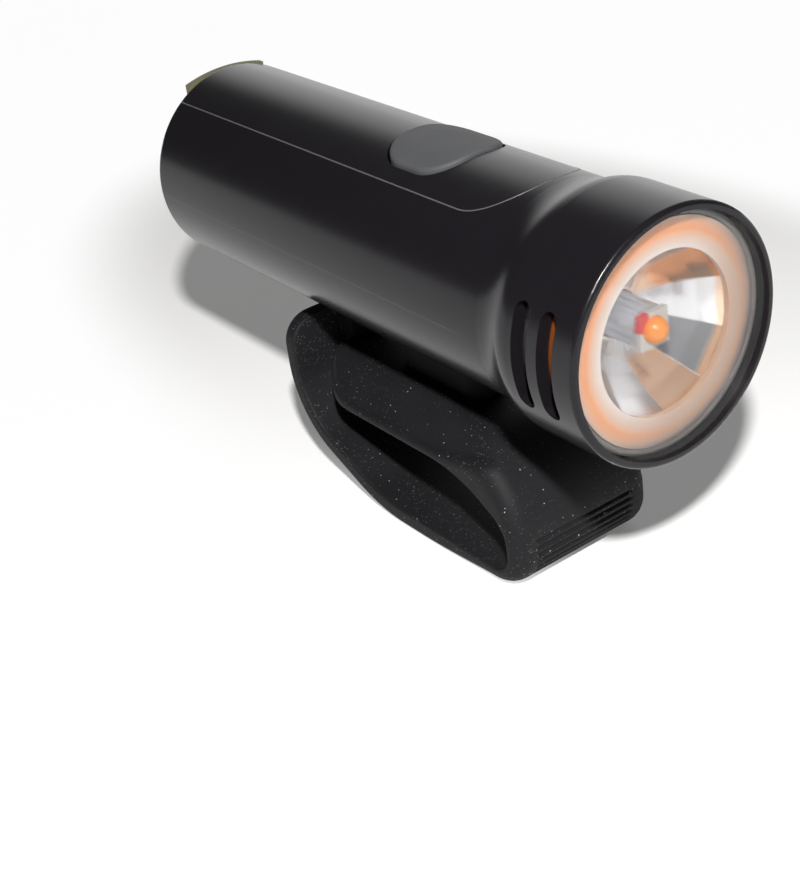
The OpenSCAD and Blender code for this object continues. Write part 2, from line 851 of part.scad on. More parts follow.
module clamp_plate() {
    color([0.2, 0.2, 0.21]) place() difference() {
        block([foot_x - clamp_l / 2, -clamp_w / 2, saddle_z],
            [foot_x + clamp_l / 2, clamp_w / 2, saddle_z + clamp_t]);
        for (s = [-1, 1]) translate([foot_x + s * clamp_pitch / 2, 0, saddle_z - 1]) {
            cylinder(r = clamp_screw_r + loose_fit, h = clamp_t + 2);
            cylinder(r = clamp_head_r + loose_fit, h = clamp_head_t + 1);
        }
    }
}

module clamp_screw(x) {
    color([0.7, 0.7, 0.72]) place() translate([x, 0, saddle_z]) difference() {
        union() {
            cylinder(r = clamp_head_r, h = clamp_head_t);
            cylinder(r = clamp_screw_r, h = clamp_screw_l);
        }
        translate([-0.3, -1.4, -1]) cube([0.6, 2.8, 1.5]);
        translate([-1.4, -0.3, -1]) cube([2.8, 0.6, 1.5]);
    }
}

module clamp_screw_front() {
    clamp_screw(foot_x + clamp_pitch / 2);
}

module clamp_screw_rear() {
    clamp_screw(foot_x - clamp_pitch / 2);
}

main_shell();
top_cover();
mode_button();
switch_plunger();
tact_switch();
main_board();
driver_inductor();
driver_chip();
charge_chip();
filter_capacitor();
status_led();
usb_shell();
usb_tongue();
rear_cap();
rear_seal();
port_cover();
port_anchor();
cell_can();
cell_terminal();
cell_tab_front();
cell_tab_rear();
cell_cradle();
board_screw_1();
board_screw_2();
board_screw_3();
board_screw_4();
heat_sink();
lamp_board();
lamp_post();
lamp_base();
lamp_dome();
lead_positive();
lead_negative();
reflector();
amber_ring();
diffuser_ring();
lens();
lens_seal();
mount_foot();
strap_band();
strap_tail();
clamp_plate();
clamp_screw_front();
clamp_screw_rear();
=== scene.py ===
"""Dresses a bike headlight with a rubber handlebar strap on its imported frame.

Sizes are in millimetres from the rear face and the axis of the light. Meshes are in metres in the
frame's own axes: the beam along +X, up along +Z, and the surface that the strap stands on at z = 0.
"""

import functools
import logging
import math
from dataclasses import dataclass
from enum import Enum
from typing import Any, Sequence

import bmesh
import bpy
import numpy as np
from mathutils import Matrix, Vector


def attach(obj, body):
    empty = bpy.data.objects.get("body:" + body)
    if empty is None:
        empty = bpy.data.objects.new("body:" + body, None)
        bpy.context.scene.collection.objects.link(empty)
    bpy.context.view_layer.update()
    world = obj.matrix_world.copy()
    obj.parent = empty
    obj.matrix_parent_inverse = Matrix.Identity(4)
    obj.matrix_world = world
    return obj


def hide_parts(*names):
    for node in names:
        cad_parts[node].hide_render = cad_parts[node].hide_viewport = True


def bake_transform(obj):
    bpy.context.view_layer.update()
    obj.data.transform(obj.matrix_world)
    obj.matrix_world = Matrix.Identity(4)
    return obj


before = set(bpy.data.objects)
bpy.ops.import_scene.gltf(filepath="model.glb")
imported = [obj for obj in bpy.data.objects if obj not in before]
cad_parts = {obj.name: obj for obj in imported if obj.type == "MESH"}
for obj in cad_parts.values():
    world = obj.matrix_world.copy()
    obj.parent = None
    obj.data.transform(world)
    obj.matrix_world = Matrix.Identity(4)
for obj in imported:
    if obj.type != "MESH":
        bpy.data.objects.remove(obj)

log = logging.getLogger("headlight")

MM = 0.001
REAR_X = 47.75
AXIS_Z = 41.0
BODY_R = 15.0
SHARP_FROM = 75.0
SAME_POINT = 1e-7
NO_LENGTH = 1e-8

Pair = tuple[float, float]
Triple = tuple[float, float, float]
Color = Triple
Array = np.ndarray
Piece = bpy.types.Object


class Body(str, Enum):
    """The moving bodies that a piece can ride on."""

    LIGHT = "light"
    BUTTON = "button"
    STRAP_END = "strap_end"


def clear_startup() -> None:
    """Removes the objects that a new file starts with, which aren't part of the light."""
    for name in ("Cube", "Light", "Camera"):
        thing = bpy.data.objects.get(name)
        if thing is not None:
            bpy.data.objects.remove(thing, do_unlink=True)


clear_startup()
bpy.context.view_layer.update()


def to_row(points: Array) -> Array:
    """Moves points, x, y, z from the rear face and the axis, from millimetres to the frame's metres."""
    return (points - np.array([REAR_X, 0.0, -AXIS_Z])) * MM


def smoothstep(x: Array, low: float, high: float) -> Array:
    """Shares that rise from 0 at low to 1 at high along 3t^2 - 2t^3."""
    t = np.clip((x - low) / (high - low), 0.0, 1.0)
    return t * t * (3.0 - 2.0 * t)


def fall(into: Array, r: float) -> Array:
    """How far a quarter circle of radius r falls away at a distance d into it: r - sqrt(r^2 - d^2)."""
    return r - np.sqrt(r**2 - np.clip(into, 0.0, r) ** 2)


def soft_ramp(x: Array, soft: float) -> Array:
    """0 below x = 0 and x above it, with a rounded corner: soft log(1 + exp(x / soft))."""
    return soft * np.logaddexp(0.0, x / soft)


def ring(centre: Sequence[float], r: float, degrees: Array) -> Array:
    """Points on a circle at some angles, as a (count, 2) array: centre + r (cos a, sin a)."""
    a = np.radians(degrees)
    return np.stack([centre[0] + r * np.cos(a), centre[1] + r * np.sin(a)], axis=-1)


def arc(centre: Sequence[float], r: float, a0: float, a1: float, count: int) -> Array:
    """Points on a circle, with the angle going evenly from a0 to a1 in degrees."""
    return ring(centre, r, np.linspace(a0, a1, count))


def line(a: Sequence[float], b: Sequence[float], count: int) -> Array:
    """Points evenly spaced on a straight line from a to b, as a (count, 2) array."""
    return np.linspace(np.asarray(a, float), np.asarray(b, float), count)


def resample(points: Array, count: int) -> Array:
    """Spaces a polyline evenly by its own length.

    Args:
        points: (n, 2) polyline.
        count: number of points to return.

    Returns:
        A (count, 2) array along the same line.
    """
    steps = np.linalg.norm(np.diff(points, axis=0), axis=1)
    along = np.concatenate([[0.0], np.cumsum(steps)])
    at = np.linspace(0.0, along[-1], count)
    return np.stack([np.interp(at, along, points[:, k]) for k in range(points.shape[1])], axis=-1)


def tube_quads(rows: int, cols: int) -> Array:
    """Quads of a tube, whose rows of points are its rings.

    Args:
        rows: number of rings.
        cols: number of points round a ring.

    Returns:
        A (rows - 1, cols, 4) array of point numbers.
    """
    r = np.arange(rows - 1)[:, None] * cols
    c = np.arange(cols)[None, :]
    c1 = (c + 1) % cols
    return np.stack([r + c, r + c1, r + cols + c1, r + cols + c], axis=-1)


def end_caps(rows: int, cols: int) -> list[list[int]]:
    """The first and the last ring of a tube, as the faces that close it."""
    return [list(range(cols)), list(range((rows - 1) * cols, rows * cols))]


def make_piece(name: str, points: Array, quads: Array, caps: Sequence[list[int]] = ()) -> Piece:
    """Puts points and faces into a mesh, closes its seams and poles and turns its faces outwards.

    It is shaded smooth, but for edges that are nearly square.

    Args:
        name: name of the piece.
        points: array in the light's millimetres, whose last axis is x, y, z.
        quads: array of point numbers, four to a face.
        caps: faces with more points.

    Returns:
        The new object, at the origin.
    """
    mesh = bpy.data.meshes.new(name)
    mesh.from_pydata(to_row(points).reshape(-1, 3).tolist(), [], [*quads.reshape(-1, 4).tolist(), *caps])
    work = bmesh.new()
    work.from_mesh(mesh)
    bmesh.ops.remove_doubles(work, verts=work.verts, dist=SAME_POINT)
    bmesh.ops.dissolve_degenerate(work, edges=work.edges, dist=NO_LENGTH)
    bmesh.ops.recalc_face_normals(work, faces=work.faces)
    work.to_mesh(mesh)
    work.free()
    mesh.polygons.foreach_set("use_smooth", np.ones(len(mesh.polygons), bool))
    mesh.set_sharp_from_angle(angle=math.radians(SHARP_FROM))
    mesh.update()
    piece = bpy.data.objects.new(name, mesh)
    bpy.context.scene.collection.objects.link(piece)
    return piece


def lathe(name: str, profile: Array, count: int) -> Piece:
    """Turns a profile about the light's axis: (x, r) becomes (x, r cos a, r sin a).

    Args:
        name: name of the piece.
        profile: (n, 2) array of distance from the rear face and radius, open or closed on the axis.
        count: number of steps round the axis.

    Returns:
        The turned piece.
    """
    a = np.linspace(0.0, 2.0 * math.pi, count, endpoint=False)
    x = np.repeat(profile[:, :1], count, axis=1)
    y = profile[:, 1:] * np.cos(a)
    z = profile[:, 1:] * np.sin(a)
    return make_piece(name, np.stack([x, y, z], axis=-1), tube_quads(len(profile), count))


class Signal:
    """One output socket of a shader, usable in Python expressions."""

    def __init__(self, graph: "Graph", socket: bpy.types.NodeSocket) -> None:
        """Wraps a socket of a graph."""
        self.graph = graph
        self.socket = socket

    def math(self, operation: str, other: Any = 0.0, swap: bool = False) -> "Signal":
        """Adds a Math node; swap puts the other number or signal first."""
        first, second = (other, self) if swap else (self, other)
        return self.graph.node("ShaderNodeMath", {"operation": operation}, {0: first, 1: second})

    def rise(self, low: float, high: float) -> "Signal":
        """Rises smoothly from 0 at low to 1 at high."""
        settings = {"interpolation_type": "SMOOTHSTEP"}
        return self.graph.node("ShaderNodeMapRange", settings, {0: self, 1: low, 2: high})

    __add__ = functools.partialmethod(math, "ADD")
    __radd__ = functools.partialmethod(math, "ADD", swap=True)
    __sub__ = functools.partialmethod(math, "SUBTRACT")
    __rsub__ = functools.partialmethod(math, "SUBTRACT", swap=True)
    __mul__ = functools.partialmethod(math, "MULTIPLY")
    __rmul__ = functools.partialmethod(math, "MULTIPLY", swap=True)
    __truediv__ = functools.partialmethod(math, "DIVIDE")
    __abs__ = functools.partialmethod(math, "ABSOLUTE")


class Graph:
    """A shader's nodes, with one method that adds any of them."""

    def __init__(self, tree: bpy.types.NodeTree) -> None:
        """Takes an empty node tree."""
        self.tree = tree
        tree.nodes.clear()

    def node(
        self,
        kind: str,
        settings: dict[str, Any] | None = None,
        sockets: dict[str | int, Any] | None = None,
        output: str | int = 0,
    ) -> Signal:
        """Adds a node.

        Args:
            kind: Blender's name for the node's type.
            settings: properties, set first; stops gives a ramp's places and colours.
            sockets: numbers, colours or signals for its inputs.
            output: which output to return.

        Returns:
            The chosen output as a signal.
        """
        made = self.tree.nodes.new(kind)
        for key, value in (settings or {}).items():
            if key == "stops":
                elements = made.color_ramp.elements
                while len(elements) < len(value):
                    elements.new(1.0)
                for element, (at, colour) in zip(elements, value):
                    element.position = at
                    element.color = (*colour, 1.0)
            else:
                setattr(made, key, value)
        for key, value in (sockets or {}).items():
            if isinstance(value, Signal):
                self.tree.links.new(value.socket, made.inputs[key])
            else:
                made.inputs[key].default_value = value
        return Signal(self, made.outputs[output] if len(made.outputs) else None)

    def place(self) -> Signal:
        """Object coordinates, in metres."""
        return self.node("ShaderNodeTexCoord", output="Object")

    def axis(self, place: Signal, name: str) -> Signal:
        """One of X, Y and Z of a vector."""
        return self.node("ShaderNodeSeparateXYZ", None, {0: place}, name)

    def noise(self, place: Signal, scale: float, detail: float = 2.0) -> Signal:
        """Soft noise from 0 to 1, with scale cells in a metre."""
        return self.node("ShaderNodeTexNoise", None, {"Vector": place, "Scale": scale, "Detail": detail})

    def blend(self, share: Signal, low: Any, high: Any) -> Signal:
        """Mixes two colours by a share."""
        pair = [c if isinstance(c, Signal) else (*c, 1.0) for c in (low, high)]
        return self.node("ShaderNodeMix", {"data_type": "RGBA"}, {0: share, 6: pair[0], 7: pair[1]}, 2)

    def offset(self, place: Signal) -> tuple[Signal, Signal]:
        """How far to the left of the light's axis and above it, in millimetres."""
        return self.axis(place, "Y") / MM, self.axis(place, "Z") / MM - AXIS_Z

    def radius(self, place: Signal) -> Signal:
        """Distance from the light's axis, in millimetres."""
        y, z = self.offset(place)
        return (y * y + z * z).math("SQRT")

    def station(self, place: Signal) -> Signal:
        """Distance from the rear face along the light, in millimetres."""
        return self.axis(place, "X") / MM + REAR_X


def greatest(signals: Sequence[Signal]) -> Signal:
    """The greatest of some signals."""
    return functools.reduce(lambda a, b: a.math("MAXIMUM", b), signals)


@dataclass(frozen=True)
class Finish:
    """A moulded or machined surface: mottled colour, uneven gloss and fine grain.

    mottle is the share by which the colour varies, grain the number of grains in a metre and depth their
    height in millimetres. The mottle and the gloss have their own number of patches in a metre.
    """

    name: str
    color: Color
    roughness: float
    metallic: float = 0.0
    mottle: float = 0.12
    grain: float = 3000.0
    depth: float = 0.01
    specular: float = 0.5
    coat: float = 0.0
    mottle_patches: float = 160.0
    gloss_patches: float = 420.0
    gloss_share: float = 0.1
    bump: float = 0.5

    def tint(self, graph: Graph, place: Signal) -> Signal:
        """Base colour, between a darker and a lighter shade."""
        low = tuple(c * (1.0 - self.mottle) for c in self.color)
        high = tuple(min(1.0, c * (1.0 + self.mottle)) for c in self.color)
        return graph.blend(graph.noise(place, self.mottle_patches), low, high)

    def gloss(self, graph: Graph, place: Signal) -> Signal:
        """Roughness, a little uneven."""
        uneven = graph.noise(place, self.gloss_patches) - 0.5
        return self.roughness + self.gloss_share * self.roughness * uneven

    def metal(self, graph: Graph, place: Signal) -> Signal | float:
        """How metallic the surface is."""
        return self.metallic

    def relief(self, graph: Graph, place: Signal) -> Signal:
        """Height of the grain, from 0 to 1."""
        return graph.noise(place, self.grain, 1.0)

    def extra(self) -> dict[str, Any]:
        """Other sockets of the shader, each with one value."""
        return {"Specular IOR Level": self.specular, "Coat Weight": self.coat}

    def layered(self, graph: Graph, shader: Signal) -> Signal:
        """The shader as it is; a finish can lay another one over it."""
        return shader

    def material(self) -> bpy.types.Material:
        """Builds the material.

        Returns:
            A new material with this finish's nodes.
        """
        made = bpy.data.materials.new(self.name)
        made.use_nodes = True
        graph = Graph(made.node_tree)
        place = graph.place()
        bump = graph.node(
            "ShaderNodeBump",
            None,
            {"Strength": self.bump, "Distance": self.depth * MM, "Height": self.relief(graph, place)},
        )
        sockets = {
            "Base Color": self.tint(graph, place),
            "Roughness": self.gloss(graph, place),
            "Metallic": self.metal(graph, place),
            "Normal": bump,
            **self.extra(),
        }
        shader = self.layered(graph, graph.node("ShaderNodeBsdfPrincipled", None, sockets))
        graph.node("ShaderNodeOutputMaterial", None, {"Surface": shader})
        return made


@dataclass(frozen=True)
class ShellFinish(Finish):
    """Satin black moulding, with a faint parting line along both sides painted paler as a highlight."""

    line_z: float = -0.9
    line_w: Pair = (0.07, 0.154)
    line_end: Pair = (70.0, 77.0)
    # painted highlight: the parting line's paler colour stands for the light that it catches
    line_sheen_color: Color = (0.026, 0.025, 0.027)

    def tint(self, graph: Graph, place: Signal) -> Signal:
        """Black, with a painted highlight: a little paler on the parting line behind the head."""
        height = graph.axis(place, "Z") / MM - AXIS_Z
        near = 1.0 - abs(height - self.line_z).rise(*self.line_w)
        behind = 1.0 - graph.station(place).rise(*self.line_end)
        return graph.blend(near * behind, super().tint(graph, place), self.line_sheen_color)


@dataclass(frozen=True)
class DustyRubber(Finish):
    """Matte rubber with pale dust: a few specks, and finer grains that lie in drifts.

    speck and dust hold the cells in a metre, the grain's radius in cells and the share of cells with one.
    """

    speck: Triple = (1300.0, 0.16, 0.3)
    dust: Triple = (2600.0, 0.28, 0.6)
    dust_level: float = 0.36
    core: float = 0.4
    drifts: float = 90.0
    drift_detail: float = 3.0
    drift_edge: Pair = (0.35, 0.65)
    speck_color: Color = (0.34, 0.34, 0.35)

    def specks(self, graph: Graph, place: Signal, kind: Triple) -> Signal:
        """1 inside a speck: close to the middle of a cell that carries one.

        Args:
            graph: the material's nodes.
            place: where the surface is.
            kind: cells in a metre, the speck's radius and the share of cells with one.

        Returns:
            How far a point is inside a speck, from 0 to 1.
        """
        scale, r, share = kind
        cell = {"Vector": place, "Scale": scale}
        near = graph.node("ShaderNodeTexVoronoi", None, cell, "Distance")
        pick = graph.node("ShaderNodeTexVoronoi", None, cell, "Color")
        chosen = graph.node("ShaderNodeSeparateColor", None, {0: pick}, "Red")
        return (1.0 - near.rise(self.core * r, r)) * (1.0 - chosen.rise(0.0, share))

    def tint(self, graph: Graph, place: Signal) -> Signal:
        """Charcoal, with specks and drifts of dust."""
        drift = graph.noise(place, self.drifts, self.drift_detail).rise(*self.drift_edge)
        fine = self.dust_level * drift * self.specks(graph, place, self.dust)
        share = fine.math("MAXIMUM", self.specks(graph, place, self.speck))
        return graph.blend(share, super().tint(graph, place), self.speck_color)


@dataclass(frozen=True)
class MirrorBowl(Finish):
    """Mirror coat inside the reflector's bowl with painted reflections, bare dark plastic behind it."""

    foot_r: float = 3.6
    foot_x: float = 85.5
    curve: float = 13.29
    mouth_x: float = 93.5
    lip: float = 0.2
    least: float = 0.01
    skin: Pair = (0.3, 0.5)
    back: Color = (0.02, 0.02, 0.022)
    back_rough: float = 0.5
    facet_half: Pair = (17.0, 19.0)
    # painted reflections: the real coat is silver all over; these darken one facet and tint two facets and
    # one side of the lip orange
    painted_reflection_orange: Color = (0.9, 0.42, 0.12)
    painted_orange_at: tuple[float, ...] = (36.0, -72.0)
    painted_orange_r: Pair = (5.0, 6.5)
    painted_orange_share: float = 0.7
    painted_edge_w: float = 1.0
    painted_edge_y: Pair = (-4.0, 0.0)
    painted_edge_share: float = 0.85
    painted_reflection_dark: Color = (0.06, 0.065, 0.075)
    painted_dark_at: tuple[float, ...] = (-36.0,)
    painted_dark_share: float = 0.88
    haze: float = 0.35
    haze_rough: float = 0.36
    haze_lost: float = 0.8

    def coated(self, graph: Graph, place: Signal) -> Signal:
        """1 on the bowl and its lip, by the bowl's own curve r^2 = foot^2 + curve (x - foot)."""
        x = graph.station(place)
        r = graph.radius(place)
        bowl = ((x - self.foot_x) * self.curve + self.foot_r**2).math("MAXIMUM", self.least).math("SQRT")
        lip = x.rise(self.mouth_x - self.lip, self.mouth_x)
        return (1.0 - (r - bowl).rise(*self.skin)).math("MAXIMUM", lip)

    def tint(self, graph: Graph, place: Signal) -> Signal:
        """Silver where coated, with painted reflections: a dark facet, two orange ones and an orange edge."""
        painted_reflection_orange = self.painted_orange_share * self.facets(graph, place, self.painted_orange_at)
        painted_reflection_orange = painted_reflection_orange * graph.radius(place).rise(*self.painted_orange_r)
        # the orange edge is a painted reflection on one side of the lip
        edge = graph.station(place).rise(self.mouth_x - self.painted_edge_w, self.mouth_x - self.lip)
        edge = self.painted_edge_share * edge * (graph.axis(place, "Y") / MM).rise(*self.painted_edge_y)
        painted_reflection_dark = self.painted_dark_share * self.facets(graph, place, self.painted_dark_at)
        silver = graph.blend(painted_reflection_orange.math("MAXIMUM", edge), graph.blend(painted_reflection_dark, self.color, self.painted_reflection_dark), self.painted_reflection_orange)
        return graph.blend(self.coated(graph, place), self.back, silver)

    def facets(self, graph: Graph, place: Signal, turns: Sequence[float]) -> Signal:
        """1 on the facets whose middles lie at some angles round the axis, atan2(z, y) in degrees.

        Args:
            graph: the material's nodes.
            place: where the surface is.
            turns: the angles of the facets' middles.

        Returns:
            How far a point is on one of the facets, from 0 to 1.
        """
        y, z = graph.offset(place)
        turn = z.math("ARCTAN2", y) * math.degrees(1.0)
        return greatest([1.0 - abs(turn - middle).rise(*self.facet_half) for middle in turns])

    def layered(self, graph: Graph, shader: Signal) -> Signal:
        """The mirror with a share of haze, which spreads the lamplight over the silver facets."""
        haze = graph.node(
            "ShaderNodeBsdfAnisotropic", None, {"Color": (*self.color, 1.0), "Roughness": self.haze_rough}
        )
        place = graph.place()
        # the haze is mostly left off the facets with painted reflections
        plain = 1.0 - self.haze_lost * self.facets(graph, place, self.painted_dark_at + self.painted_orange_at)
        share = self.haze * self.coated(graph, place) * plain
        return graph.node("ShaderNodeMixShader", None, {0: share, 1: shader, 2: haze})

    def metal(self, graph: Graph, place: Signal) -> Signal:
        """Metallic where it is coated."""
        return self.coated(graph, place)

    def gloss(self, graph: Graph, place: Signal) -> Signal:
        """Mirror-bright where it is coated."""
        return self.back_rough - (self.back_rough - self.roughness) * self.coated(graph, place)


@dataclass(frozen=True)
class FrostedRing(Finish):
    """Frosted ring behind the lens with an orange band, and painted shade that greys it on the far side."""

    inner_r: float = 10.5
    outer_r: float = 14.4
    wander: float = 0.2
    wander_patches: float = 120.0
    # the way from the axis towards the painted shade, and where it sets in
    shaded_way: Pair = (0.8, -0.6)
    shaded_edge: Pair = (-0.5, 0.9)
    near: tuple[tuple[float, Color], ...] = (
        (0.0, (0.62, 0.57, 0.54)),
        (0.3, (0.6, 0.44, 0.35)),
        (0.6, (0.68, 0.28, 0.12)),
        (0.85, (0.62, 0.33, 0.2)),
        (1.0, (0.5, 0.38, 0.32)),
    )
    # painted shade: the ramp for the far side is greyer and darker out to its edge
    far: tuple[tuple[float, Color], ...] = (
        (0.0, (0.44, 0.28, 0.19)),
        (0.35, (0.38, 0.28, 0.22)),
        (0.6, (0.4, 0.23, 0.14)),
        (0.82, (0.24, 0.19, 0.17)),
        (1.0, (0.1, 0.09, 0.085)),
    )

    def tint(self, graph: Graph, place: Signal) -> Signal:
        """Two ramps across the ring, mixed by how near the direction from the axis is to the painted shade.
        """
        r = graph.radius(place)
        wave = self.wander * (graph.noise(place, self.wander_patches) - 0.5)
        at = (r - self.inner_r) / (self.outer_r - self.inner_r) + wave
        y, z = graph.offset(place)
        side = ((self.shaded_way[0] * y + self.shaded_way[1] * z) / r).rise(*self.shaded_edge)
        ramps = [graph.node("ShaderNodeValToRGB", {"stops": s}, {0: at}) for s in (self.near, self.far)]
        return graph.blend(side, *ramps)


@dataclass(frozen=True)
class RedCornerCeramic(Finish):
    """Pale ceramic of the lamp, red at one upper corner."""

    corner_red: Color = (0.5, 0.06, 0.06)
    corner_red_y: Pair = (-0.9, -0.7)
    corner_red_z: Pair = (0.0, 0.2)

    def tint(self, graph: Graph, place: Signal) -> Signal:
        """Pale, and red beyond two edges at one upper corner."""
        y, z = graph.offset(place)
        reddened = (1.0 - y.rise(*self.corner_red_y)) * z.rise(*self.corner_red_z)
        return graph.blend(reddened, super().tint(graph, place), self.corner_red)


@dataclass(frozen=True)
class ClearLens(Finish):
    """Clear moulded lens, which lets most of the lamplight straight through."""

    through: float = 0.62
    bend: float = 1.04
    shine: float = 1.58

    def layered(self, graph: Graph, shader: Signal) -> Signal:
        """Glass, with a share of plain clearness so that the parts behind it are lit."""
        clear = graph.node("ShaderNodeBsdfTransparent")
        return graph.node("ShaderNodeMixShader", None, {0: self.through, 1: shader, 2: clear})

    def extra(self) -> dict[str, Any]:
        """Clear and hardly bending the view, with the gloss of polycarbonate as a coat."""
        return {**super().extra(), "Transmission Weight": 1.0, "IOR": self.bend, "Coat IOR": self.shine}


class Finishes:
    """Every finish of the light, and which node or piece takes it."""

    SHELL = ShellFinish("satin_black_shell", (0.0082, 0.0072, 0.0088), 0.24, depth=0.003, specular=0.31)
    COVER = Finish("satin_black_cover", (0.0092, 0.0082, 0.0096), 0.25, depth=0.003, specular=0.33)
    # painted highlight: the seam's bead is pale grey, though the real edge is black and only catches the
    # light
    SEAM_HIGHLIGHT = Finish("seam_painted_highlight", (0.09, 0.09, 0.095), 0.4)
    BUTTON = Finish("grey_button_rubber", (0.07, 0.071, 0.074), 0.65, mottle=0.16, depth=0.03, specular=0.35)
    STRAP = DustyRubber(
        "charcoal_strap_rubber", (0.0092, 0.0085, 0.0097), 0.64, mottle=0.25, depth=0.03, specular=0.2
    )
    PORT = Finish("olive_port_rubber", (0.14, 0.133, 0.072), 0.6, depth=0.03)
    FOOT = Finish("dark_foot_plastic", (0.005, 0.0047, 0.005), 0.7, specular=0.15)
    CAP = Finish("matte_black_cap", (0.015, 0.015, 0.017), 0.5, depth=0.02)
    BLACK = Finish("matte_black_plastic", (0.02, 0.02, 0.022), 0.55)
    SEAL = Finish("seal_rubber", (0.09, 0.083, 0.078), 0.6)
    CLEAR_SEAL = Finish("clear_seal_rubber", (0.13, 0.12, 0.11), 0.5)
    STEEL = Finish("plated_steel", (0.6, 0.6, 0.62), 0.28, metallic=1.0)
    ALUMINIUM = Finish("machined_aluminium", (0.6, 0.6, 0.62), 0.36, metallic=1.0)
    BOARD = Finish("green_board", (0.02, 0.12, 0.05), 0.4, mottle=0.25)
    CERAMIC = Finish("lamp_ceramic", (0.8, 0.78, 0.72), 0.5)
    LAMP_BASE = RedCornerCeramic("red_corner_lamp_ceramic", (0.45, 0.43, 0.4), 0.5)
    CELL = Finish("cell_sleeve", (0.03, 0.1, 0.35), 0.35)
    CRADLE = Finish("natural_cradle", (0.7, 0.7, 0.68), 0.5)
    DOME = Finish("lamp_phosphor", (0.68, 0.22, 0.035), 0.3, mottle=0.2, coat=0.3)
    LEAD_RED = Finish("red_lead", (0.5, 0.01, 0.01), 0.45)
    LEAD_BLACK = Finish("black_lead", (0.012, 0.012, 0.012), 0.45)
    MIRROR = MirrorBowl("mirror_coat", (0.93, 0.93, 0.94), 0.11, mottle=0.0, depth=0.0)
    AMBER = Finish("clear_amber", (0.13, 0.033, 0.005), 0.35, mottle=0.4, coat=0.2)
    FROSTED = FrostedRing("frosted_ring", (0.8, 0.5, 0.35), 0.4)
    LENS = ClearLens("clear_lens", (0.97, 0.97, 0.98), 0.03, mottle=0.01, depth=0.0, coat=1.0)

    WEARERS: tuple[tuple[Finish, str], ...] = (
        (SHELL, "main_shell"),
        (COVER, "top_cover"),
        (PORT, "port_cover port_anchor"),
        (CAP, "rear_cap"),
        (FOOT, "mount_foot clamp_plate"),
        (SEAL, "rear_seal"),
        (CLEAR_SEAL, "lens_seal"),
        (BLACK, "switch_plunger driver_inductor driver_chip charge_chip usb_tongue"),
        (STEEL, "tact_switch usb_shell cell_terminal cell_tab_front cell_tab_rear"),
        (STEEL, "board_screw_1 board_screw_2 board_screw_3 board_screw_4 clamp_screw_front clamp_screw_rear"),
        (ALUMINIUM, "filter_capacitor heat_sink lamp_post"),
        (BOARD, "main_board"),
        (CERAMIC, "status_led lamp_board"),
        (LAMP_BASE, "lamp_base"),
        (DOME, "lamp_dome"),
        (CELL, "cell_can"),
        (CRADLE, "cell_cradle"),
        (LEAD_RED, "lead_positive"),
        (LEAD_BLACK, "lead_negative"),
        (MIRROR, "reflector"),
        (AMBER, "amber_ring"),
        (FROSTED, "diffuser_ring"),
    )

    def __init__(self) -> None:
        """Starts with no material built."""
        self._built: dict[str, bpy.types.Material] = {}

    def get(self, finish: Finish) -> bpy.types.Material:
        """Builds a finish's material once and returns it."""
        if finish.name not in self._built:
            self._built[finish.name] = finish.material()
        return self._built[finish.name]

    def dress(self, piece: Piece, finish: Finish) -> None:
        """Gives a piece one finish all over."""
        piece.data.materials.clear()
        piece.data.materials.append(self.get(finish))

    def dress_nodes(self) -> None:
        """Gives each carried-over node its finish, in the slots that it has."""
        for finish, names in self.WEARERS:
            for name in names.split():
                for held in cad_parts[name].material_slots:
                    held.material = self.get(finish)
                log.info("node %s: %s", name, finish.name)


